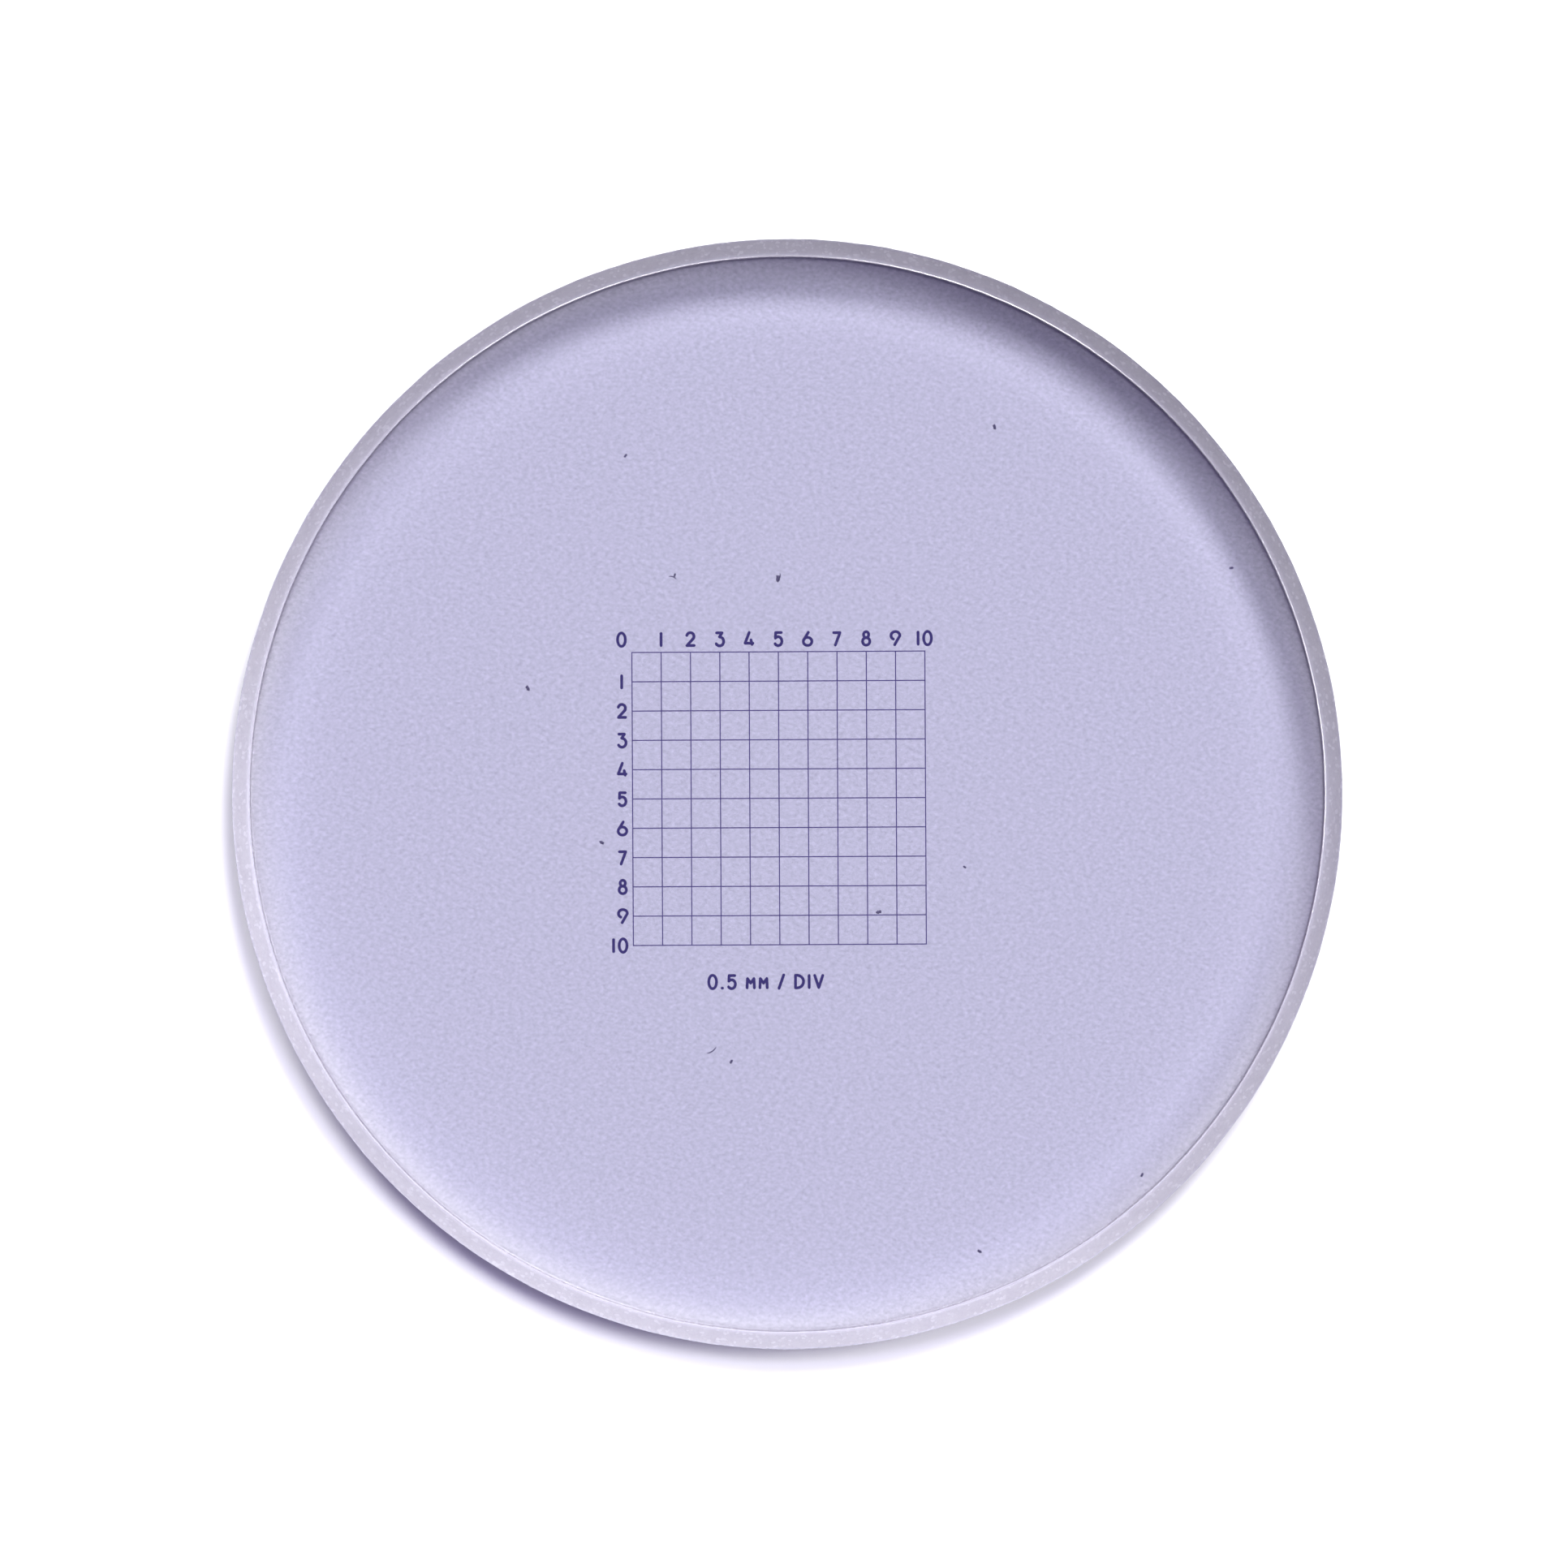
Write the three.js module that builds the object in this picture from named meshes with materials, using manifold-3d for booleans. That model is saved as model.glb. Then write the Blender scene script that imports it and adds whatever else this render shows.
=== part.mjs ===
// Eyepiece grid reticle: a round glass disc with ground bevels, and on its top face a ruled square
// grid, the numerals along its top and left sides, and a units note below it.
//
// Millimetres, +Z up. The disc stands on z = 0 with its axis on Z. The film pattern lies on the top
// face, reads from above with +Y up the page, and each unconnected patch of film is its own mesh.

import * as THREE from 'three';
import { mergeVertices } from 'three/addons/utils/BufferGeometryUtils.js';
import Module from 'manifold-3d';

const wasm = await Module();
wasm.setup();

// Glass disc
const DISC_DIAMETER = 19.0;
const DISC_THICKNESS = 1.5;
const BEVEL_WIDTH = 0.3;
const BEVEL_DROP = 0.3;
const DISC_SEGMENTS = 160;

// Film pattern: its thickness, and where the grid's centre lies from the disc's axis
const FILM_THICKNESS = 0.01;
const PATTERN_X = -0.14;
const PATTERN_Y = -0.07;

// Grid
const DIVISIONS = 10;
const DIVISION = 0.5;
const GRID_SIDE = DIVISIONS * DIVISION;
const GRID_HALF = GRID_SIDE / 2;
const LINE_WIDTH = 0.019;

// Lettering, drawn with one pen width
const LETTER_HEIGHT = 0.28;
const PEN_WIDTH = 0.05;
const PEN_REACH = PEN_WIDTH / 2;
const RISE = LETTER_HEIGHT - PEN_WIDTH;
const LETTER_GAP = 0.045;
const WORD_GAP = 0.15;

// Places of the lettering, measured from the grid's outer lines and its centre
const TOP_ROW_CLEARANCE = 0.08;
const LEFT_COLUMN_OFFSET = 0.176;
const NOTE_DROP = 0.49;
const NOTE_SHIFT = -0.244;

// Steps round an arc, and round a pen stroke's end or a corner sharper than SHARP_TURN
const ARC_STEP = THREE.MathUtils.degToRad(20);
const ROUND_STEP = THREE.MathUtils.degToRad(45);
const SHARP_TURN = THREE.MathUtils.degToRad(35);

const MERGE_DISTANCE = 1e-5;

const polishedGlass = new THREE.MeshStandardMaterial({
  name: 'polished_glass',
  color: 0xc4c2de,
  roughness: 0.05,
  metalness: 0,
  transparent: true,
  opacity: 0.45,
});

const lineFilm = new THREE.MeshStandardMaterial({
  name: 'line_film',
  color: 0x51487f,
  roughness: 0.45,
  metalness: 0.1,
});

const letterFilm = new THREE.MeshStandardMaterial({
  name: 'letter_film',
  color: 0x352c6b,
  roughness: 0.45,
  metalness: 0.1,
});

// A closed solid from a geometry whose shared vertices are not yet merged.
function solidFrom(geometry) {
  geometry.deleteAttribute('normal');
  geometry.deleteAttribute('uv');
  const merged = mergeVertices(geometry, MERGE_DISTANCE);
  return new wasm.Manifold(new wasm.Mesh({
    numProp: 3,
    vertProperties: new Float32Array(merged.attributes.position.array),
    triVerts: new Uint32Array(merged.index.array),
  }));
}

// The geometry of several solids joined into one.
function joined(solids) {
  const whole = solids.reduce((sum, solid) => sum.add(solid));
  const { vertProperties, triVerts } = whole.getMesh();
  const geometry = new THREE.BufferGeometry();
  geometry.setAttribute('position', new THREE.BufferAttribute(vertProperties, 3));
  geometry.setIndex(new THREE.BufferAttribute(triVerts, 1));
  geometry.computeVertexNormals();
  return geometry;
}

// A flat patch of film.
function filmOf(shape) {
  return new THREE.ExtrudeGeometry(shape, { depth: FILM_THICKNESS, bevelEnabled: false });
}

// Half of the disc's section, from the axis at the bottom face to the axis at the top face.
function discSection() {
  const radius = DISC_DIAMETER / 2;
  return [
    new THREE.Vector2(0, 0),
    new THREE.Vector2(radius - BEVEL_WIDTH, 0),
    new THREE.Vector2(radius, BEVEL_DROP),
    new THREE.Vector2(radius, DISC_THICKNESS - BEVEL_DROP),
    new THREE.Vector2(radius - BEVEL_WIDTH, DISC_THICKNESS),
    new THREE.Vector2(0, DISC_THICKNESS),
  ];
}

function glassDisc() {
  const geometry = new THREE.LatheGeometry(discSection(), DISC_SEGMENTS);
  geometry.rotateX(Math.PI / 2);
  const mesh = new THREE.Mesh(geometry, polishedGlass);
  mesh.name = 'glass_disc';
  return mesh;
}

// All the grid's lines, which cross and so make one net. It is laid out on a lattice of bands, line
// and gap by turns, so that the lines share the corners of each crossing.
function gridNetGeometry() {
  const sides = Array.from({ length: DIVISIONS + 1 }, (_, i) => i * DIVISION - GRID_HALF)
    .flatMap((centre) => [centre - LINE_WIDTH / 2, centre + LINE_WIDTH / 2]);
  const bands = sides.length - 1;
  const inNet = (column, row) => (
    Math.min(column, row) >= 0
    && Math.max(column, row) < bands
    && (column % 2 === 0 || row % 2 === 0)
  );
  const positions = [];
  const corner = ([column, row], z) => [sides[column], sides[row], z];
  const face = (a, b, c, d) => positions.push(...a, ...b, ...c, ...a, ...c, ...d);
  const beside = [[0, -1], [1, 0], [0, 1], [-1, 0]];
  for (let column = 0; column < bands; column += 1) {
    for (let row = 0; row < bands; row += 1) {
      if (inNet(column, row)) {
        const ring = [[column, row], [column + 1, row], [column + 1, row + 1], [column, row + 1]];
        const low = ring.map((place) => corner(place, 0));
        const high = ring.map((place) => corner(place, FILM_THICKNESS));
        face(...high);
        face(...low.toReversed());
        beside.forEach(([right, up], k) => {
          if (!inNet(column + right, row + up)) {
            const next = (k + 1) % ring.length;
            face(low[k], low[next], high[next], high[k]);
          }
        });
      }
    }
  }
  const geometry = new THREE.BufferGeometry();
  geometry.setAttribute('position', new THREE.Float32BufferAttribute(positions, 3));
  return mergeVertices(geometry, MERGE_DISTANCE);
}

function gridNet() {
  const geometry = gridNetGeometry();
  geometry.computeVertexNormals();
  const mesh = new THREE.Mesh(geometry, lineFilm);
  mesh.name = 'grid_net';
  return mesh;
}

// Pen strokes are lists of centre-line points. One unit is RISE, the height of a letter's centre
// line. An arc runs clockwise where its angle falls, in degrees from the right.
const at = (x, y) => [new THREE.Vector2(x, y)];

function arc(x, y, halfWidth, halfHeight, from, to) {
  const [start, end] = [from, to].map(THREE.MathUtils.degToRad);
  const curve = new THREE.EllipseCurve(x, y, halfWidth, halfHeight, start, end, start > end);
  return curve.getPoints(Math.ceil(Math.abs(end - start) / ARC_STEP));
}

// Each letter's strokes and rings, from its left edge and its foot line, and its centre lines' width.
const LETTERS = {
  zero: { width: 0.58, rings: [[0.29, 0.5, 0.29, 0.5]] },
  one: { width: 0, strokes: [[at(0, 0.05), at(0, 0.95)]] },
  two: {
    width: 0.56,
    strokes: [[arc(0.28, 0.72, 0.27, 0.28, 165, -35), at(0.02, 0.04), at(0.56, 0.04)]],
  },
  three: {
    width: 0.6,
    strokes: [
      [at(0.07, 0.97), at(0.48, 0.97), at(0.28, 0.67)],
      [arc(0.3, 0.33, 0.3, 0.33, 92, -150)],
    ],
  },
  four: {
    width: 0.58,
    strokes: [
      [at(0.31, 0.99), at(0, 0.19), at(0.58, 0.19)],
      [at(0.44, 0.44), at(0.51, 0.1)],
    ],
  },
  five: {
    width: 0.54,
    strokes: [
      [at(0.5, 0.97), at(0.08, 0.97), at(0.06, 0.6)],
      [arc(0.26, 0.33, 0.28, 0.33, 138, -145)],
    ],
  },
  six: {
    width: 0.64,
    strokes: [[at(0.38, 0.98), at(0.04, 0.42)]],
    rings: [[0.32, 0.3, 0.32, 0.3]],
  },
  seven: { width: 0.47, strokes: [[at(0, 0.94), at(0.47, 0.94), at(0.12, 0.02)]] },
  eight: { width: 0.54, rings: [[0.27, 0.78, 0.19, 0.22], [0.27, 0.28, 0.27, 0.28]] },
  nine: { width: 0.66, strokes: [[arc(0.33, 0.7, 0.33, 0.3, 242, 0), at(0.27, 0.02)]] },
  point: { width: 0.03, strokes: [[at(0, 0.04), at(0.03, 0.04)]] },
  slash: { width: 0.36, strokes: [[at(0, 0), at(0.36, 1)]] },
  d: {
    width: 0.6,
    strokes: [
      [at(0, 0.97), at(0, 0.03)],
      [at(0, 0.97), arc(0.12, 0.5, 0.48, 0.47, 90, -90), at(0, 0.03)],
    ],
  },
  i: { width: 0, strokes: [[at(0, 0.05), at(0, 0.95)]] },
  v: { width: 0.6, strokes: [[at(0, 0.95), at(0.3, 0.05), at(0.6, 0.95)]] },
  m: {
    width: 0.54,
    strokes: [[at(0, 0.05), at(0.03, 0.74), at(0.27, 0.4), at(0.51, 0.74), at(0.54, 0.05)]],
  },
};
const DIGITS = ['zero', 'one', 'two', 'three', 'four', 'five', 'six', 'seven', 'eight', 'nine'];

// The outline of a pen stroke: a walk along its points and back, always half a pen width to the
// right of the way. The turn-about at each end and every sharp left turn are rounded.
function strokeShape(stroke) {
  const points = stroke.flat().map((point) => point.clone().multiplyScalar(RISE));
  const walk = [...points, ...points.slice(1, -1).reverse()];
  const outline = walk.flatMap((point, i) => {
    const arriving = point.clone().sub(walk.at(i - 1)).angle();
    const leaving = walk[(i + 1) % walk.length].clone().sub(point).angle();
    const turn = THREE.MathUtils.euclideanModulo(leaving - arriving + 3, 2 * Math.PI) - 3;
    const right = arriving - Math.PI / 2;
    const beside = (angle, reach) => new THREE.Vector2(
      point.x + reach * Math.cos(angle),
      point.y + reach * Math.sin(angle),
    );
    if (turn < SHARP_TURN) {
      return [beside(right + turn / 2, PEN_REACH / Math.cos(turn / 2))];
    }
    const steps = Math.ceil(turn / ROUND_STEP - 0.01);
    return Array.from({ length: steps + 1 }, (_, k) => (
      beside(right + (turn * k) / steps, PEN_REACH)
    ));
  });
  return new THREE.Shape(outline);
}

// A ring's shape: the ellipse half a pen width outside its centre line, less the one inside it.
function ringShape([x, y, halfWidth, halfHeight]) {
  const ellipse = (reach) => new THREE.EllipseCurve(
    x * RISE,
    y * RISE,
    halfWidth * RISE + reach,
    halfHeight * RISE + reach,
  ).getPoints(2 * Math.PI / ARC_STEP).slice(1);
  const shape = new THREE.Shape(ellipse(PEN_REACH));
  shape.holes.push(new THREE.Path(ellipse(-PEN_REACH)));
  return shape;
}

function letterGeometry(letter) {
  const { strokes = [], rings = [] } = LETTERS[letter];
  const shapes = [...strokes.map(strokeShape), ...rings.map(ringShape)];
  return joined(shapes.map((shape) => solidFrom(filmOf(shape))));
}

const letterWidth = (letter) => LETTERS[letter].width * RISE + PEN_WIDTH;

function wordWidth(word) {
  return word.reduce((sum, letter) => sum + letterWidth(letter), (word.length - 1) * LETTER_GAP);
}

// A word's letters as meshes, each named by its place. left is where its ink starts, and foot is
// the line it stands on.
function wordMeshes(word, names, left, foot) {
  let pen = left;
  return word.map((letter, i) => {
    const mesh = new THREE.Mesh(letterGeometry(letter), letterFilm);
    mesh.position.set(pen + PEN_REACH, foot + PEN_REACH, 0);
    mesh.name = names[i];
    pen += letterWidth(letter) + LETTER_GAP;
    return mesh;
  });
}

const digitsOf = (value) => [...String(value)].map((digit) => DIGITS[digit]);

// A number's digits are unconnected, so past 9 each one has its own name.
function numeralNames(name, word) {
  return word.length === 1 ? [name] : word.map((digit) => `${name}_${digit}`);
}

// 0 stands off the grid's corner, and each other numeral is centred over its line.
function topNumerals() {
  const foot = GRID_HALF + TOP_ROW_CLEARANCE;
  const meshes = [];
  for (let i = 0; i <= DIVISIONS; i += 1) {
    const word = digitsOf(i);
    const centre = i * DIVISION - GRID_HALF - (i === 0 ? LEFT_COLUMN_OFFSET : 0);
    const names = numeralNames(`top_numeral_${i}`, word);
    meshes.push(...wordMeshes(word, names, centre - wordWidth(word) / 2, foot));
  }
  return meshes;
}

// The last digits stand one below the other, each centred on the height of its own line.
function leftNumerals() {
  const meshes = [];
  for (let i = 1; i <= DIVISIONS; i += 1) {
    const word = digitsOf(i);
    const right = -GRID_HALF - LEFT_COLUMN_OFFSET + letterWidth(word.at(-1)) / 2;
    const foot = GRID_HALF - i * DIVISION - LETTER_HEIGHT / 2;
    const names = numeralNames(`left_numeral_${i}`, word);
    meshes.push(...wordMeshes(word, names, right - wordWidth(word), foot));
  }
  return meshes;
}

// The units note says what one division of the grid measures.
function unitsNote() {
  const words = [['zero', 'point', 'five'], ['m', 'm'], ['slash'], ['d', 'i', 'v']];
  const gaps = (words.length - 1) * WORD_GAP;
  const width = words.reduce((sum, word) => sum + wordWidth(word), gaps);
  const foot = -GRID_HALF - NOTE_DROP - LETTER_HEIGHT;
  let left = NOTE_SHIFT - width / 2;
  let count = 0;
  return words.flatMap((word) => {
    const names = word.map((letter, i) => `units_note_${count + i + 1}_${letter}`);
    const meshes = wordMeshes(word, names, left, foot);
    left += wordWidth(word) + WORD_GAP;
    count += word.length;
    return meshes;
  });
}

const pattern = new THREE.Group();
pattern.position.set(PATTERN_X, PATTERN_Y, DISC_THICKNESS);
pattern.add(gridNet(), ...topNumerals(), ...leftNumerals(), ...unitsNote());

const reticle = new THREE.Group();
reticle.add(glassDisc(), pattern);

export default reticle;
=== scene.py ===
"""Looks for a round glass eyepiece reticle: tinted polished faces, a ground rim and a dark counting grid.

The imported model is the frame. The glass disc gets a finely turned surface of its own, the film pieces keep
their shapes and get a deposited-film finish, and a little dust lies on the top face. Lengths inside the
classes are in millimetres, and every mesh is written in metres. Texture scales are in features per metre.
"""

import logging
import math
from dataclasses import dataclass, field
from enum import Enum
from typing import Any

import bpy
import numpy as np
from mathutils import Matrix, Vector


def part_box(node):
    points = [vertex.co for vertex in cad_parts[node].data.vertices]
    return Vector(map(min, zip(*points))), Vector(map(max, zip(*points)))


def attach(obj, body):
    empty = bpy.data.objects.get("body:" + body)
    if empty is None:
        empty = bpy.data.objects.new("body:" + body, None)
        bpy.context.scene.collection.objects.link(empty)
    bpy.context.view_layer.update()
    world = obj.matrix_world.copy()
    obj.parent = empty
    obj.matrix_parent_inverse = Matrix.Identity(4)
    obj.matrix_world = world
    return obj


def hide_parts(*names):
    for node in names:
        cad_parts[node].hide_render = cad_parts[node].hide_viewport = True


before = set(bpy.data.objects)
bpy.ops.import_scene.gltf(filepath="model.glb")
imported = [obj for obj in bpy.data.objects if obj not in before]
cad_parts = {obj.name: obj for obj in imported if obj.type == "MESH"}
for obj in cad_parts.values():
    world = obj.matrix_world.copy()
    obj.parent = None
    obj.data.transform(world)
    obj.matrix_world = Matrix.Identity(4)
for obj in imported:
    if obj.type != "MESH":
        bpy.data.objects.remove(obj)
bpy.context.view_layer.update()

LOG = logging.getLogger("reticle")
MM = 0.001
Color = tuple[float, float, float]


class Slot(Enum):
    """The material slots, by name."""

    GLASS = "glass"
    LINES = "line_film"
    LETTERS = "letter_film"


class Zone(Enum):
    """The three ways the disc's glass is worked, as material slot numbers of its mesh."""

    POLISHED = 0
    GROUND = 1
    ARRIS = 2


# ------------------------------------------------------------------ node trees


@dataclass
class Wiring:
    """A node tree while it is being wired."""

    tree: bpy.types.NodeTree

    def node(self, kind: str, feeds: dict[str | int, Any] | None = None, **settings: Any) -> bpy.types.Node:
        """Adds a node.

        Args:
            kind: The node's type name.
            feeds: What each input takes: an output socket to link, or a plain value.
            settings: Properties of the node.

        Returns:
            The new node.
        """
        made = self.tree.nodes.new(kind)
        for name, value in settings.items():
            setattr(made, name, value)
        for name, value in (feeds or {}).items():
            if isinstance(value, bpy.types.NodeSocket):
                self.tree.links.new(value, made.inputs[name])
            else:
                made.inputs[name].default_value = value
        return made

    def math(self, operation: str, *values: Any, clamp: bool = False) -> bpy.types.NodeSocket:
        """Adds a Math node over sockets or numbers and returns its output."""
        feeds = dict(enumerate(values))
        return self.node("ShaderNodeMath", feeds, operation=operation, use_clamp=clamp).outputs[0]

    def blend(self, share: Any, first: Any, second: Any) -> bpy.types.NodeSocket:
        """Mixes two colours.

        Args:
            share: How much of the second colour shows, from 0 to 1.
            first: A colour, or a socket that gives one.
            second: A colour, or a socket that gives one.

        Returns:
            The mixed colour's socket.
        """
        feeds = {0: share, 6: self.rgba(first), 7: self.rgba(second)}
        return self.node("ShaderNodeMix", feeds, data_type="RGBA").outputs[2]

    def span(
        self, value: Any, low: float, high: float, out_low: float = 0.0, out_high: float = 1.0
    ) -> bpy.types.NodeSocket:
        """Maps value from low..high to out_low..out_high, held at both ends."""
        feeds = {0: value, 1: low, 2: high, 3: out_low, 4: out_high}
        return self.node("ShaderNodeMapRange", feeds).outputs[0]

    def group(self, tree: bpy.types.NodeTree, **feeds: Any) -> bpy.types.Node:
        """Places a shared effect, with its named inputs fed."""
        return self.node("ShaderNodeGroup", feeds, node_tree=tree)

    def noise(self, place: Any, scale: Any, detail: float = 2.0, rough: float = 0.5) -> bpy.types.NodeSocket:
        """Adds a noise texture and returns its value."""
        feeds = {"Vector": place, "Scale": scale, "Detail": detail, "Roughness": rough}
        return self.node("ShaderNodeTexNoise", feeds).outputs[0]

    def drawn_out(self, place: Any, squeeze: float, angle: float) -> bpy.types.NodeSocket:
        """Coordinates that draw a texture out along X: squeezed there, then turned about Z by angle."""
        feeds = {"Vector": place, "Rotation": (0.0, 0.0, angle), "Scale": (squeeze, 1.0, 1.0)}
        return self.node("ShaderNodeMapping", feeds).outputs[0]

    def mask(self, name: str) -> bpy.types.NodeSocket:
        """Reads one of the mesh's own point attributes."""
        return self.node("ShaderNodeAttribute", attribute_name=name, attribute_type="GEOMETRY").outputs["Fac"]

    @staticmethod
    def rgba(value: Any) -> Any:
        """A colour with its alpha, or the socket as it is."""
        return (*value, 1.0) if isinstance(value, tuple) and len(value) == 3 else value


@dataclass
class Effects:
    """Shader node groups that several finishes share."""

    turn: float = 0.6
    mottle_squeeze: float = 0.7
    scratch_squeeze: float = 0.09
    grain: bpy.types.NodeTree = field(init=False)
    mottle: bpy.types.NodeTree = field(init=False)
    wear: bpy.types.NodeTree = field(init=False)

    def __post_init__(self) -> None:
        """Builds every group once."""
        self.grain = self._grain()
        self.mottle = self._mottle()
        self.wear = self._wear()

    def clouds(self, w: Wiring, place: Any, scales: tuple[float, float]) -> Any:
        """Places the mottling in a finish, at its fine and broad scales, and returns its outputs."""
        return w.group(self.mottle, Place=place, Fine=scales[0], Broad=scales[1]).outputs

    @staticmethod
    def _open(
        name: str, inputs: dict[str, tuple[str, float]], outputs: dict[str, str]
    ) -> tuple[Wiring, Any, Any]:
        """Starts a group.

        Args:
            name: The group's name.
            inputs: Each input's socket type, without its prefix, and default value.
            outputs: Each output's socket type, without its prefix.

        Returns:
            The wiring, the group's input node and its output node.
        """
        tree = bpy.data.node_groups.new(name, "ShaderNodeTree")
        for title, (kind, default) in inputs.items():
            made = tree.interface.new_socket(name=title, in_out="INPUT", socket_type="NodeSocket" + kind)
            if kind == "Float":
                made.default_value = default
        for title, kind in outputs.items():
            tree.interface.new_socket(name=title, in_out="OUTPUT", socket_type="NodeSocket" + kind)
        wiring = Wiring(tree)
        return wiring, wiring.node("NodeGroupInput"), wiring.node("NodeGroupOutput")

    def _grain(self) -> bpy.types.NodeTree:
        """Ground-glass grain: fine pits of one size, and a scatter of cells picked out as painted glints
        among them.
        """
        inputs = {"Place": ("Vector", 0.0), "Scale": ("Float", 1.0), "Sparkle": ("Float", 0.5)}
        w, given, result = self._open("ground_grain", inputs, {"Height": "Float", "Glints": "Float"})
        place, scale = given.outputs["Place"], given.outputs["Scale"]
        pits = w.noise(place, scale, 4.0, 0.62)
        cells = w.node("ShaderNodeTexVoronoi", {"Vector": place, "Scale": w.math("MULTIPLY", scale, 0.75)})
        height = w.math("MULTIPLY_ADD", pits, 0.7, w.math("MULTIPLY", cells.outputs[0], 0.45))
        shade = w.node("ShaderNodeSeparateColor", {0: cells.outputs["Color"]}).outputs[0]
        # The brightest cells are picked out as painted glints.
        glint = w.span(shade, 0.78, 0.98)
        w.tree.links.new(height, result.inputs["Height"])
        w.tree.links.new(w.math("MULTIPLY", glint, given.outputs["Sparkle"]), result.inputs["Glints"])
        return w.tree

    def _mottle(self) -> bpy.types.NodeTree:
        """Soft mottling: fine cloud over broad cloud, centred on one half."""
        inputs = {"Place": ("Vector", 0.0), "Fine": ("Float", 1.0), "Broad": ("Float", 1.0)}
        w, given, result = self._open("soft_mottle", inputs, {"Cloud": "Float", "Patches": "Float"})
        place = w.drawn_out(given.outputs["Place"], self.mottle_squeeze, self.turn)
        fine = w.noise(place, given.outputs["Fine"], 3.0, 0.7)
        broad = w.noise(place, given.outputs["Broad"])
        w.tree.links.new(w.span(fine, 0.25, 0.75), result.inputs["Cloud"])
        w.tree.links.new(w.span(broad, 0.3, 0.7), result.inputs["Patches"])
        return w.tree

    def _wear(self) -> bpy.types.NodeTree:
        """Handling wear: sparse short scratches from left to right, gathered in patches."""
        inputs = {"Place": ("Vector", 0.0), "Scale": ("Float", 1.0), "Share": ("Float", 0.1)}
        w, given, result = self._open("handling_wear", inputs, {"Scratches": "Float"})
        place, scale = given.outputs["Place"], given.outputs["Scale"]
        hairs = w.noise(w.drawn_out(place, self.scratch_squeeze, self.turn), scale, 1.0, 0.4)
        patch = w.noise(place, w.math("MULTIPLY", scale, 0.02))
        edge = w.math("SUBTRACT", 0.86, w.math("MULTIPLY", given.outputs["Share"], 0.6))
        cut = w.math("MULTIPLY", w.math("SUBTRACT", hairs, edge), 14.0, clamp=True)
        held = w.math("MULTIPLY", cut, w.span(patch, 0.45, 0.6))
        w.tree.links.new(held, result.inputs["Scratches"])
        return w.tree


# ------------------------------------------------------------------ finishes


@dataclass(frozen=True)
class Finish:
    """What every finish has: a name, and a fresh material to wire."""

    name: str

    def start(self) -> tuple[bpy.types.Material, Wiring, bpy.types.NodeSocket]:
        """Makes the empty material.

        Returns:
            The material, its wiring and its Object coordinates.
        """
        material = bpy.data.materials.new(self.name)
        material.use_nodes = True
        material.node_tree.nodes.clear()
        wiring = Wiring(material.node_tree)
        return material, wiring, wiring.node("ShaderNodeTexCoord").outputs["Object"]

    @staticmethod
    def close(wiring: Wiring, shader: bpy.types.NodeSocket) -> None:
        """Links the shader to the material's output."""
        wiring.node("ShaderNodeOutputMaterial", {"Surface": shader})


@dataclass(frozen=True)
class PolishedGlass(Finish):
    """Clear tinted glass, optically polished, with faint mottling and handling marks, and a paler painted
    glow towards the rim.
    """

    name: str = "polished_glass"
    tint: Color = (0.609, 0.601, 0.696)
    tint_patch: Color = (0.600, 0.607, 0.696)
    # A painted glow: the tint turns paler and less lavender towards the rim, standing in for the whiter light
    # the rim folds back onto the paper.
    rim_glow_tint: Color = (0.629, 0.623, 0.648)
    patch_share: float = 0.35
    mottle: float = 0.225
    mottle_scales: tuple[float, float] = (16000.0, 1300.0)
    scratch_scale: float = 26000.0
    scratch_share: float = 0.1
    scratch_lift: float = 1.08
    roughness: float = 0.012
    scratch_roughness: float = 0.06
    ior: float = 1.52
    pass_share: float = 0.96

    def make(self, effects: Effects) -> bpy.types.Material:
        """Wires the glass. A lamp's light goes straight through it, tinted once a face.

        Args:
            effects: The shared node groups.

        Returns:
            The material.
        """
        material, w, place = self.start()
        cloud = effects.clouds(w, place, self.mottle_scales)
        marks = w.group(effects.wear, Place=place, Scale=self.scratch_scale, Share=self.scratch_share)
        scratches = marks.outputs["Scratches"]
        share = w.math("MULTIPLY", cloud["Patches"], self.patch_share)
        # Towards the rim the mottled tint turns paler: painted glow over the real mottled patches.
        patched_with_glow = w.blend(w.mask("glow_near_rim"), w.blend(share, self.tint, self.tint_patch), self.rim_glow_tint)
        clouded = w.span(cloud["Cloud"], 0.0, 1.0, 1.0 - self.mottle, 1.0 + self.mottle)
        mottled = w.node("ShaderNodeVectorMath", {0: patched_with_glow, "Scale": clouded}, operation="SCALE").outputs[0]
        lighter = tuple(c * self.scratch_lift for c in self.tint)
        colour = w.blend(w.math("MULTIPLY", scratches, 0.5), mottled, lighter)
        rough = w.math("MULTIPLY_ADD", scratches, self.scratch_roughness, self.roughness)
        feeds = {"Base Color": colour, "Roughness": rough, "IOR": self.ior, "Transmission Weight": 1.0}
        glass = w.node("ShaderNodeBsdfPrincipled", feeds).outputs[0]
        root = tuple(math.sqrt(c) * self.pass_share for c in self.tint)
        clear = w.node("ShaderNodeBsdfTransparent", {"Color": w.rgba(root)}).outputs[0]
        path = w.node("ShaderNodeLightPath").outputs
        straight = w.math("MAXIMUM", path["Is Shadow Ray"], path["Is Diffuse Ray"])
        self.close(w, w.node("ShaderNodeMixShader", {0: straight, 1: glass, 2: clear}).outputs[0])
        return material


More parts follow.
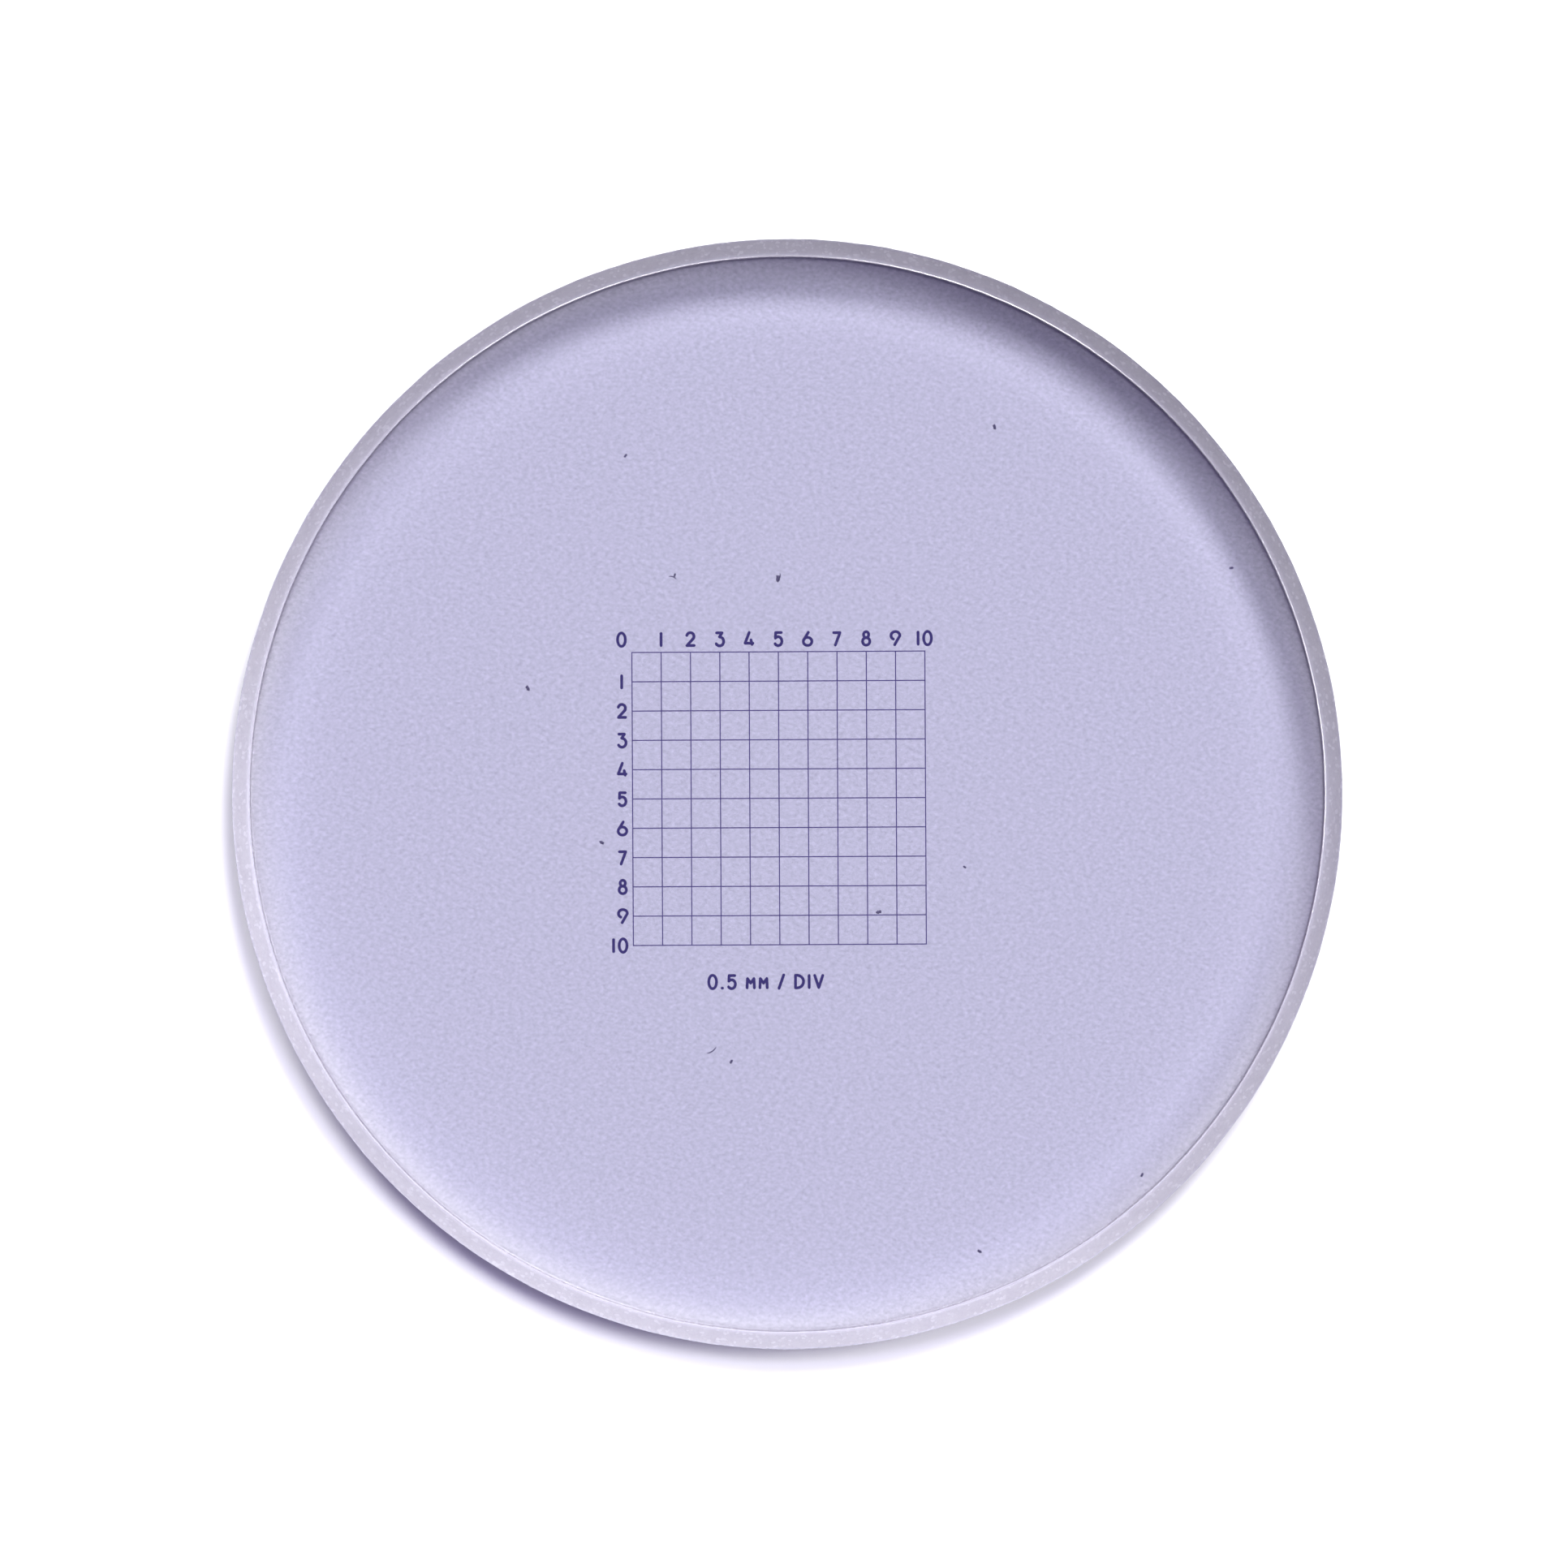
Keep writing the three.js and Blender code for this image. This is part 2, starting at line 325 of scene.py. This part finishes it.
@dataclass(frozen=True)
class GroundGlass(Finish):
    """The same glass with a fine ground surface: pale, hazy and grainy."""

    name: str = "ground_glass"
    haze: Color = (0.46, 0.440, 0.460)
    dark_haze: Color = (0.325, 0.302, 0.335)
    edge_haze: Color = (0.39, 0.37, 0.47)
    edge_tone: float = 0.85
    edge_share: float = 0.4
    # A painted highlight: this near-white colour is blended in at the grain's glint cells, as much as sparkle
    # says.
    glint: Color = (0.98, 0.96, 0.99)
    sparkle: float = 0.30
    roughness: float = 0.42
    least_roughness: float = 0.05
    transmission: float = 0.88
    ior: float = 1.52
    grain_scale: float = 24000.0
    pits: tuple[float, float] = (0.3, 0.8)
    mottle_scales: tuple[float, float] = (5000.0, 900.0)
    bump_strength: float = 0.6
    bump_depth: float = 0.004
    # The glass colour near the polished faces' edge, paler than the body glass: partly the glass's tint and
    # partly a painted highlight line along the arris.
    clear: Color = (0.86, 0.83, 0.90)
    inside_pass: Color = (0.012, 0.008, 0.034)
    bevel_pass: Color = (0.25, 0.22, 0.37)
    outside_pass: Color = (0.11, 0.10, 0.14)
    shoulder_pass: Color = (0.80, 0.79, 0.85)
    shoulder: tuple[float, float] = (0.40, 0.85)
    slant: tuple[float, float] = (0.15, 0.30)

    def make(self, effects: Effects) -> bpy.types.Material:
        """Wires the ground glass. Its grain sets colour, roughness and bump, and paints glints into the
        colour.

        It holds back most of a lamp's light. More passes through a bevel that the light meets at a slant, and
        through the upper wall from outside, so that the shadow is wide inside the rim and narrow outside it.

        Args:
            effects: The shared node groups.

        Returns:
            The material.
        """
        material, w, place = self.start()
        grain = w.group(effects.grain, Place=place, Scale=self.grain_scale, Sparkle=self.sparkle).outputs
        cloud = effects.clouds(w, place, self.mottle_scales)
        grind, edge = w.mask("grind"), w.mask("edge")
        shade = w.math("MULTIPLY", cloud["Cloud"], w.span(grain["Height"], *self.pits, 0.2, 0.9))
        colour = w.blend(shade, self.haze, self.dark_haze)
        colour = w.blend(w.math("MULTIPLY", edge, self.edge_tone), colour, self.edge_haze)
        # Painted glints: the colour turns near-white at scattered grain cells.
        colour = w.blend(grain["Glints"], colour, self.glint)
        # Near the polished face the colour turns to the paler clear glass, which partly paints the highlight
        # line along the arris.
        colour = w.blend(grind, self.clear, colour)
        rough = w.math("MULTIPLY", w.span(grain["Height"], *self.pits, 0.8, 1.2), self.roughness)
        finer = w.math("MULTIPLY", grind, w.span(edge, 0.0, 1.0, 1.0, self.edge_share))
        rough = w.math("MULTIPLY_ADD", rough, finer, self.least_roughness)
        depth = w.math("MULTIPLY", grain["Height"], finer)
        relief = {"Height": depth, "Strength": self.bump_strength, "Distance": self.bump_depth * MM}
        bump = w.node("ShaderNodeBump", relief).outputs[0]
        feeds = {
            "Base Color": colour,
            "Roughness": rough,
            "IOR": self.ior,
            "Transmission Weight": self.transmission,
            "Normal": bump,
        }
        glass = w.node("ShaderNodeBsdfPrincipled", feeds).outputs[0]
        inside = w.node("ShaderNodeNewGeometry").outputs["Backfacing"]
        facing = w.node("ShaderNodeLayerWeight", {"Blend": 0.5}).outputs["Facing"]
        slanted = w.math("MULTIPLY", w.span(facing, *self.slant), w.math("SUBTRACT", 1.0, edge))
        rise = w.node("ShaderNodeSeparateXYZ", {0: place}).outputs["Z"]
        high = w.span(rise, *(level * MM for level in self.shoulder))
        from_inside = w.blend(slanted, self.inside_pass, self.bevel_pass)
        from_outside = w.blend(high, self.outside_pass, self.shoulder_pass)
        passed = w.blend(inside, from_outside, from_inside)
        hold = w.node("ShaderNodeBsdfTransparent", {"Color": passed}).outputs[0]
        path = w.node("ShaderNodeLightPath").outputs
        outside = w.math("SUBTRACT", 1.0, inside)
        held = w.math("MAXIMUM", path["Is Shadow Ray"], w.math("MULTIPLY", path["Is Diffuse Ray"], outside))
        self.close(w, w.node("ShaderNodeMixShader", {0: held, 1: glass, 2: hold}).outputs[0])
        return material


@dataclass(frozen=True)
class DepositedFilm(Finish):
    """Thin dark indigo film on glass, a little uneven in density."""

    name: str = "deposited_film"
    dark: Color = (0.022, 0.017, 0.078)
    thin: Color = (0.038, 0.030, 0.120)
    roughness: float = 0.16
    shine: float = 0.15
    grain_scale: float = 40000.0
    # sparkle lifts the film towards its thin colour at scattered grain cells: painted glints.
    sparkle: float = 0.5
    mottle_scales: tuple[float, float] = (20000.0, 2500.0)
    roughness_spread: float = 0.07
    bump_strength: float = 0.25
    bump_depth: float = 0.001

    def make(self, effects: Effects) -> bpy.types.Material:
        """Wires the film.

        Args:
            effects: The shared node groups.

        Returns:
            The material.
        """
        material, w, place = self.start()
        grain = w.group(effects.grain, Place=place, Scale=self.grain_scale, Sparkle=self.sparkle).outputs
        cloud = effects.clouds(w, place, self.mottle_scales)
        # Lighter at scattered grain cells as painted glints; the cloud gives the film's real unevenness in
        # density.
        glints = w.math("MULTIPLY", grain["Glints"], 0.4)
        colour = w.blend(w.math("MULTIPLY_ADD", cloud["Cloud"], 0.6, glints), self.dark, self.thin)
        rough = w.math("MULTIPLY_ADD", cloud["Patches"], self.roughness_spread, self.roughness)
        relief = {"Height": grain["Height"], "Strength": self.bump_strength, "Distance": self.bump_depth * MM}
        bump = w.node("ShaderNodeBump", relief).outputs[0]
        feeds = {"Base Color": colour, "Roughness": rough, "Specular IOR Level": self.shine, "Normal": bump}
        self.close(w, w.node("ShaderNodeBsdfPrincipled", feeds).outputs[0])
        return material


@dataclass(frozen=True)
class Dust(Finish):
    """Dark lint and grit."""

    name: str = "dust_grit"
    dark: Color = (0.015, 0.012, 0.045)
    pale: Color = (0.07, 0.06, 0.13)
    mottle_scales: tuple[float, float] = (30000.0, 600.0)
    roughness: tuple[float, float] = (0.7, 0.95)

    def make(self, effects: Effects) -> bpy.types.Material:
        """Wires the dust.

        Args:
            effects: The shared node groups.

        Returns:
            The material.
        """
        material, w, place = self.start()
        cloud = effects.clouds(w, place, self.mottle_scales)
        colour = w.blend(cloud["Cloud"], self.dark, self.pale)
        feeds = {"Base Color": colour, "Roughness": w.span(cloud["Patches"], 0.0, 1.0, *self.roughness)}
        self.close(w, w.node("ShaderNodeBsdfPrincipled", feeds).outputs[0])
        return material


@dataclass(frozen=True)
class PalePaper(Finish):
    """The plain white surface the disc lies on."""

    name: str = "pale_paper"
    white: Color = (0.90, 0.90, 0.90)
    shade: Color = (0.885, 0.885, 0.885)
    mottle_scales: tuple[float, float] = (4000.0, 60.0)
    roughness: float = 0.95

    def make(self, effects: Effects) -> bpy.types.Material:
        """Wires the paper.

        Args:
            effects: The shared node groups.

        Returns:
            The material.
        """
        material, w, place = self.start()
        cloud = effects.clouds(w, place, self.mottle_scales)
        colour = w.blend(cloud["Cloud"], self.white, self.shade)
        feeds = {"Base Color": colour, "Roughness": self.roughness, "Specular IOR Level": 0.0}
        self.close(w, w.node("ShaderNodeBsdfPrincipled", feeds).outputs[0])
        return material


# ------------------------------------------------------------------ surfaces


def mesh_object(name: str, verts: np.ndarray, faces: list[list[int]]) -> bpy.types.Object:
    """Makes an object whose mesh is in metres, at the origin.

    Args:
        name: The object's name.
        verts: Corners, n by 3, in millimetres.
        faces: Corner numbers of each face, outwards.

    Returns:
        The linked object.
    """
    mesh = bpy.data.meshes.new(name)
    mesh.from_pydata((verts * MM).tolist(), [], faces)
    mesh.validate()
    made = bpy.data.objects.new(name, mesh)
    bpy.context.scene.collection.objects.link(made)
    return made


def rounded(corners: np.ndarray, radii: np.ndarray, steps: int) -> np.ndarray:
    """Rounds the inner corners of an open line.

    An arc of radius q touches both sides at q times the tangent of half the turn from the corner. A point of
    the arc is its centre plus q times the side's outward direction, turned evenly from side to side.

    Args:
        corners: The line's corners, n by 2.
        radii: The radius at each inner corner, n less 2 of them.
        steps: Spans of each arc.

    Returns:
        The rounded line, m by 2.
    """
    line = [corners[:1]]
    for before, corner, after, radius in zip(corners[:-2], corners[1:-1], corners[2:], radii):
        into = (corner - before) / np.linalg.norm(corner - before)
        out = (after - corner) / np.linalg.norm(after - corner)
        turn = math.atan2(into[0] * out[1] - into[1] * out[0], float(into @ out))
        start = corner - into * radius * math.tan(abs(turn) / 2)
        side = np.array([-into[1], into[0]]) * math.copysign(1.0, turn)
        centre = start + side * radius
        angles = np.linspace(0.0, turn, steps + 1)
        arm = start - centre
        cos, sin = np.cos(angles), np.sin(angles)
        line.append(centre + np.stack([cos * arm[0] - sin * arm[1], sin * arm[0] + cos * arm[1]], axis=1))
    line.append(corners[-1:])
    return np.concatenate(line)


def divided(line: np.ndarray, longest: float) -> np.ndarray:
    """Adds even points to a line until no span is longer than longest.

    Args:
        line: Points, n by 2.
        longest: The longest span allowed.

    Returns:
        The finer line.
    """
    spans = np.maximum(1, np.ceil(np.linalg.norm(np.diff(line, axis=0), axis=1) / longest).astype(int))
    parts = [a + (b - a) * np.arange(n)[:, None] / n for a, b, n in zip(line[:-1], line[1:], spans)]
    return np.concatenate([*parts, line[-1:]])


def ramp(value: np.ndarray, low: float, high: float) -> np.ndarray:
    """How far value has gone from low to high, held between 0 and 1."""
    return np.clip((value - low) / (high - low), 0.0, 1.0)


@dataclass(frozen=True)
class Wobble:
    """A smooth random wave round a circle: a sum of sines of whole frequencies with seeded phases."""

    seed: int
    lowest: int
    highest: int
    size: float

    def at(self, angle: np.ndarray) -> np.ndarray:
        """The wave at each angle, about size at its largest."""
        draw = np.random.default_rng(self.seed)
        count = np.arange(self.lowest, self.highest + 1)
        phase = draw.uniform(0.0, 2 * math.pi, count.size)
        share = draw.uniform(0.3, 1.0, count.size) / np.sqrt(count)
        wave = (share[:, None] * np.sin(count[:, None] * angle + phase[:, None])).sum(0)
        return self.size * wave / np.abs(wave).max()


# ------------------------------------------------------------------ sub-assemblies


@dataclass
class GlassDisc:
    """The reticle blank: a flat glass disc with both faces polished, and its bevels and rim fine ground."""

    node: str = "glass_disc"
    bevel_width: float = 0.3
    bevel_drop: float = 0.3
    arris: float = 0.06
    wall_edge: float = 0.05
    arc_steps: int = 5
    longest_span: float = 0.06
    segments: int = 960
    rim_wave: Wobble = Wobble(11, 2, 60, 0.006)
    rim_chips: Wobble = Wobble(12, 70, 260, 0.003)
    face_wave: Wobble = Wobble(13, 2, 60, 0.004)
    face_chips: Wobble = Wobble(14, 80, 240, 0.002)
    face_reach: float = 0.06
    grit_seed: int = 7
    grit_in: float = 0.003
    grit_out: float = 0.0012
    grit_up: float = 0.0008
    grind_span: tuple[float, float] = (-0.02, 0.03)
    edge_span: tuple[float, float] = (0.9, 1.0)
    # Where the painted glow near the rim starts and is full, in mm past the polished faces' edge.
    glow_span: tuple[float, float] = (-0.75, -0.10)
    flat_rings: tuple[float, ...] = (3.0, 6.0, 8.0, 8.3, 8.45, 8.6, 8.7, 8.8, 8.9, 9.0, 9.1)
    polished: PolishedGlass = field(default_factory=PolishedGlass)
    ground: GroundGlass = field(default_factory=GroundGlass)
    # The arris strip is mostly the paler clear colour, partly a painted highlight line.
    rubbed: GroundGlass = field(default_factory=lambda: GroundGlass("rubbed_arris", transmission=0.81))

    def profile(self) -> np.ndarray:
        """Half the disc's section, from the bottom centre out, up and back to the top centre.

        Returns:
            Points as radius and height.
        """
        low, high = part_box(self.node)
        radius, height = (high.x - low.x) / 2 / MM, high.z / MM
        face, drop = radius - self.bevel_width, self.bevel_drop
        lower = [[0.0, 0.0], [face, 0.0], [radius, drop]]
        upper = [[radius, height - drop], [face, height], [0.0, height]]
        radii = np.array([self.arris, self.wall_edge, self.wall_edge, self.arris])
        line = rounded(np.array(lower + upper), radii, self.arc_steps)
        flat_out = np.array([[r, 0.0] for r in self.flat_rings])
        flat_in = flat_out[::-1] + np.array([0.0, height])
        fine = divided(line[1:-1], self.longest_span)
        return np.concatenate([flat_out, fine, flat_in])

    def worn(self, line: np.ndarray, angle: np.ndarray) -> np.ndarray:
        """Turns the profile round the axis and wears it.

        A point is (r cos a, r sin a, z). Waves and chips move r at the rim and at the polished faces' edges,
        and a fine seeded roughness takes r and z inwards all over the ground zones.

        Args:
            line: The profile.
            angle: Where each turn of it stands.

        Returns:
            Points, profile by turns by 3.
        """
        past_face = line[:, :1] - (line[:, 0].max() - self.bevel_width)
        on_bevel = ramp(past_face, 0.0, self.bevel_width)
        r = np.repeat(line[:, :1], angle.size, axis=1)
        z = np.repeat(line[:, 1:], angle.size, axis=1)
        rim = self.rim_wave.at(angle) - self.rim_wave.size + self.rim_chips.at(angle) - self.rim_chips.size
        inner = self.face_wave.at(angle) + self.face_chips.at(angle)
        near_face = np.exp(-((past_face / self.face_reach) ** 2)) * (past_face > -self.face_reach / 2)
        r += on_bevel**2 * rim + near_face * inner
        draw = np.random.default_rng(self.grit_seed)
        ground = on_bevel > 0.02
        r += ground * (draw.normal(0.0, 1.0, r.shape) * self.grit_out - self.grit_in)
        top = np.where(line[:, 1:] > line[:, 1].max() / 2, 1.0, -1.0)
        z -= top * ground * np.abs(draw.normal(0.0, 1.0, z.shape)) * self.grit_up
        return np.stack([r * np.cos(angle), r * np.sin(angle), z], axis=2)

    @staticmethod
    def skin(rows: int, turns: int) -> list[list[int]]:
        """Corner numbers of the faces: bands between the rings, then a fan to the centre below and above."""
        i, j = np.meshgrid(np.arange(rows - 1), np.arange(turns), indexing="ij")
        nxt = (j + 1) % turns
        low, high = i * turns, (i + 1) * turns
        quads = np.stack([low + j, low + nxt, high + nxt, high + j], axis=2)
        step = np.arange(turns)
        after = (step + 1) % turns
        last, centre = (rows - 1) * turns, rows * turns
        floor_fan = np.stack([np.full(turns, centre), after, step], axis=1)
        roof_fan = np.stack([np.full(turns, centre + 1), last + step, last + after], axis=1)
        return quads.reshape(-1, 4).tolist() + floor_fan.tolist() + roof_fan.tolist()

    def mark(self, mesh: bpy.types.Mesh, line: np.ndarray) -> None:
        """Sets each face's zone and smoothing, and writes the masks that the finishes read.

        Args:
            mesh: The disc's mesh.
            line: The profile.
        """
        turns = self.segments
        past_face = line[:, 0] - (line[:, 0].max() - self.bevel_width)
        mid = (past_face[:-1] + past_face[1:]) / 2
        zone = np.where(mid > 0, Zone.GROUND.value, Zone.POLISHED.value)
        zone[np.abs(mid) < self.arris / 2] = Zone.ARRIS.value
        zones = np.concatenate([np.repeat(zone, turns), np.full(2 * turns, Zone.POLISHED.value)])
        mesh.polygons.foreach_set("material_index", zones.astype(np.int32))
        mesh.polygons.foreach_set("use_smooth", zones != Zone.POLISHED.value)
        masks = {
            "grind": ramp(past_face, *self.grind_span),
            "edge": ramp(past_face / self.bevel_width, *self.edge_span),
            # This mask places the painted glow: the polished tint turns paler towards the rim.
            "glow_near_rim": ramp(past_face, *self.glow_span) ** 2,
        }
        for title, worth in masks.items():
            layer = mesh.attributes.new(title, "FLOAT", "POINT")
            values = np.concatenate([np.repeat(worth, turns), [0.0, 0.0]])
            layer.data.foreach_set("value", values.astype(np.float32))

    def build(self, effects: Effects) -> bpy.types.Object:
        """Builds the disc.

        Args:
            effects: The shared node groups.

        Returns:
            The disc.
        """
        line = self.profile()
        angle = np.arange(self.segments) * 2 * math.pi / self.segments
        centres = [[0.0, 0.0, 0.0], [0.0, 0.0, line[:, 1].max()]]
        verts = np.concatenate([self.worn(line, angle).reshape(-1, 3), centres])
        made = mesh_object("glass_disc_body", verts, self.skin(len(line), self.segments))
        mesh = made.data
        self.mark(mesh, line)
        mesh.materials.append(self.polished.make(effects))
        mesh.materials.append(self.ground.make(effects))
        mesh.materials.append(self.rubbed.make(effects))
        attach(made, "root")
        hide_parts(self.node)
        return made


@dataclass
class CountingPattern:
    """The film pattern: the grid net and its numerals and note, kept as the frame has them."""

    net: str = "grid_net"
    line_film: DepositedFilm = field(
        default_factory=lambda: DepositedFilm("grid_line_film", (0.036, 0.028, 0.100), (0.072, 0.058, 0.160))
    )
    letter_film: DepositedFilm = field(default_factory=lambda: DepositedFilm("letter_film"))

    def dress(self, effects: Effects) -> list[str]:
        """Gives every film node its finish.

        Args:
            effects: The shared node groups.

        Returns:
            The names of the dressed nodes.
        """
        lines, letters = self.line_film.make(effects), self.letter_film.make(effects)
        names = [name for name in sorted(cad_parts) if name != GlassDisc.node]
        for name in names:
            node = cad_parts[name]
            finish = lines if name == self.net else letters
            if not node.material_slots:
                node.data.materials.append(finish)
            for slot in node.material_slots:
                slot.material = finish
            node.visible_shadow = False
        return names


@dataclass
class LyingDust:
    """Grit and lint on the top face: flat lumps at set places, and bent fibres."""

    grit_at: tuple[tuple[float, float, float], ...] = (
        (-0.14, 3.68, 0.045),
        (3.57, 6.25, 0.036),
        (-4.42, 1.83, 0.038),
        (-3.17, -0.81, 0.034),
        (-0.98, -4.56, 0.030),
        (1.55, -2.02, 0.038),
        (-2.73, 5.79, 0.028),
        (-1.90, 3.75, 0.024),
        (7.60, 3.82, 0.030),
        (6.02, -6.53, 0.030),
        (3.24, -7.82, 0.032),
        (3.02, -1.26, 0.024),
    )
    fibres: tuple[tuple[float, float, float, float, float], ...] = (
        (-1.30, -4.38, 0.20, 35.0, 0.5),
        (-0.11, 3.69, 0.17, 65.0, 0.9),
        (-1.93, 3.72, 0.14, -20.0, -0.7),
    )
    fibre_radius: float = 0.010
    sides: int = 12
    lump_rings: int = 5
    lump_rise: float = 0.35
    fibre_rings: int = 9
    finish: Dust = field(default_factory=Dust)
    seed: int = 21

    def around(self) -> np.ndarray:
        """The angle of each corner of a ring."""
        return np.arange(self.sides) * 2 * math.pi / self.sides

    def lump(self, x: float, y: float, size: float, base: float, draw: np.random.Generator) -> np.ndarray:
        """A lump's corners: rings of the upper half of a flattened ball, whose radius wanders with angle.

        Args:
            x: Centre to the right.
            y: Centre up the page.
            size: Radius.
            base: Height it lies on.
            draw: Random numbers.

        Returns:
            Corners, rings by sides by 3.
        """
        angle = self.around()
        lift = np.linspace(0.0, math.pi / 2, self.lump_rings)[:, None]
        long_phase, short_phase = draw.uniform(0, 6), draw.uniform(0, 6)
        wander = 1.0 + 0.35 * np.sin(2 * angle + long_phase) + 0.2 * np.sin(5 * angle + short_phase)
        r = size * wander * np.cos(lift * 0.98)
        z = np.broadcast_to(base + size * self.lump_rise * np.sin(lift), r.shape)
        return np.stack([x + r * np.cos(angle), y + r * np.sin(angle), z], axis=2)

    def fibre(
        self, x: float, y: float, length: float, heading: float, bend: float, base: float
    ) -> np.ndarray:
        """A fibre's corners: rings along a shallow parabola, narrowing towards each end.

        At share s of the length from the middle, the fibre has gone s along its heading, and bend times s
        squared to its left.

        Args:
            x: Middle to the right.
            y: Middle up the page.
            length: Length from end to end.
            heading: Direction at the middle, in degrees from the right.
            bend: How far it curves, as a share of its length.
            base: Height it lies on.

        Returns:
            Corners, rings by sides by 3.
        """
        angle = self.around()
        along = np.linspace(-0.5, 0.5, self.fibre_rings)[:, None]
        way = math.radians(heading)
        slope = way + np.arctan(2 * bend * along)
        mid_x = x + length * (along * math.cos(way) - bend * along**2 * math.sin(way))
        mid_y = y + length * (along * math.sin(way) + bend * along**2 * math.cos(way))
        thick = self.fibre_radius * np.sqrt(np.maximum(1.02 - (2 * along) ** 2, 0.0))
        side = thick * np.cos(angle)
        lift = base + self.fibre_radius + thick * np.sin(angle)
        return np.stack([mid_x + np.sin(slope) * side, mid_y - np.cos(slope) * side, lift], axis=2)

    def build(self, effects: Effects) -> bpy.types.Object:
        """Builds all the grit and fibres as one piece.

        Args:
            effects: The shared node groups.

        Returns:
            The piece.
        """
        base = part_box(GlassDisc.node)[1].z / MM
        draw = np.random.default_rng(self.seed)
        verts: list[np.ndarray] = []
        faces: list[list[int]] = []
        count, sides = 0, self.sides
        step = np.arange(sides)
        after = (step + 1) % sides
        lumps = [self.lump(*place, base, draw) for place in self.grit_at]
        lumps += [self.fibre(*place, base) for place in self.fibres]
        for lump in lumps:
            rings = len(lump)
            verts.append(lump.reshape(-1, 3))
            low = count + np.arange(rings - 1)[:, None] * sides
            high = low + sides
            quads = np.stack([low + step, low + after, high + after, high + step], axis=2)
            faces += quads.reshape(-1, 4).tolist()
            faces.append((count + step[::-1]).tolist())
            faces.append((count + (rings - 1) * sides + step).tolist())
            count += rings * sides
        made = mesh_object("dust_grit", np.concatenate(verts), faces)
        made.data.materials.append(self.finish.make(effects))
        made.data.polygons.foreach_set("use_smooth", np.ones(len(made.data.polygons), bool))
        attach(made, "root")
        return made


@dataclass(frozen=True)
class Lamp:
    """A distant soft lamp: where it stands, how wide it looks and how strong it is."""

    name: str
    azimuth: float
    tilt: float
    angle: float
    strength: float

    def hang(self) -> None:
        """Adds the lamp, tilted from straight overhead towards its azimuth, in degrees from the right."""
        sun = bpy.data.lights.new(self.name, "SUN")
        sun.energy = self.strength
        sun.angle = math.radians(self.angle)
        made = bpy.data.objects.new(self.name, sun)
        made.rotation_euler = (0.0, math.radians(self.tilt), math.radians(self.azimuth))
        bpy.context.scene.collection.objects.link(made)


@dataclass
class Studio:
    """The paper, the lights and the camera."""

    floor_half: float = 3000.0
    floor_gap: float = 0.03
    lamps: tuple[Lamp, ...] = (
        Lamp("right_light", 8.0, 26.0, 18.0, 1.75),
        Lamp("key_light", 66.0, 27.0, 15.0, 2.95),
        Lamp("left_light", 113.0, 27.0, 16.0, 1.7),
    )
    horizon: Color = (0.32, 0.285, 0.58)
    zenith: Color = (0.06, 0.048, 0.115)
    backdrop: Color = (1.05, 1.05, 1.05)
    sky_span: tuple[float, float] = (0.02, 0.42)
    camera_height: float = 250.0
    frame_width: float = 26.76
    offset: tuple[float, float] = (-0.055, 0.173)
    roll: float = -0.3
    sensor: float = 36.0
    clip_m: tuple[float, float] = (0.01, 5.0)

    def floor(self, effects: Effects) -> None:
        """Lays the paper just under the disc."""
        half = self.floor_half
        corners = np.array([[-half, -half], [half, -half], [half, half], [-half, half]])
        verts = np.column_stack([corners, np.full(4, -self.floor_gap)])
        made = mesh_object("paper", verts, [[0, 1, 2, 3]])
        made.data.materials.append(PalePaper().make(effects))

    def lights(self) -> None:
        """Hangs the lamps in an arc from the right to the upper left, under a dim sky.

        The glass sees the dim sky, and the camera sees a plain white one.
        """
        for lamp in self.lamps:
            lamp.hang()
        world = bpy.data.worlds.new("studio_sky")
        world.use_nodes = True
        world.node_tree.nodes.clear()
        w = Wiring(world.node_tree)
        way = w.node("ShaderNodeTexCoord").outputs["Generated"]
        up = w.node("ShaderNodeSeparateXYZ", {0: way}).outputs["Z"]
        low, high = self.sky_span
        rise = w.node("ShaderNodeMapRange", {0: up, 1: low, 2: high}, interpolation_type="SMOOTHSTEP")
        colour = w.blend(rise.outputs[0], self.horizon, self.zenith)
        seen = w.node("ShaderNodeLightPath").outputs["Is Camera Ray"]
        sky = w.node("ShaderNodeBackground", {"Color": w.blend(seen, colour, self.backdrop)})
        w.node("ShaderNodeOutputWorld", {"Surface": sky.outputs[0]})
        bpy.context.scene.world = world

    def camera(self) -> None:
        """Hangs the camera straight over the disc, looking down."""
        data = bpy.data.cameras.new("camera")
        data.sensor_width = self.sensor
        data.lens = self.sensor * self.camera_height / self.frame_width
        data.clip_start, data.clip_end = self.clip_m
        made = bpy.data.objects.new("camera", data)
        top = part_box(GlassDisc.node)[1].z / MM
        made.location = (self.offset[0] * MM, self.offset[1] * MM, (top + self.camera_height) * MM)
        made.rotation_euler = (0.0, 0.0, math.radians(self.roll))
        bpy.context.scene.collection.objects.link(made)
        bpy.context.scene.camera = made
        bpy.context.scene.view_settings.view_transform = "Standard"

    def build(self, effects: Effects) -> None:
        """Sets the whole studio."""
        self.floor(effects)
        self.lights()
        self.camera()


def main() -> None:
    """Builds the sub-assemblies in order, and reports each."""
    logging.basicConfig(level=logging.INFO, format="%(name)s: %(message)s")
    effects = Effects()
    disc = GlassDisc().build(effects)
    LOG.info("%s: %d faces", disc.name, len(disc.data.polygons))
    dressed = CountingPattern().dress(effects)
    LOG.info("film: %d nodes", len(dressed))
    dust = LyingDust().build(effects)
    LOG.info("%s: %d faces", dust.name, len(dust.data.polygons))
    Studio().build(effects)
    LOG.info("studio set")


if __name__ == "__main__":
    main()
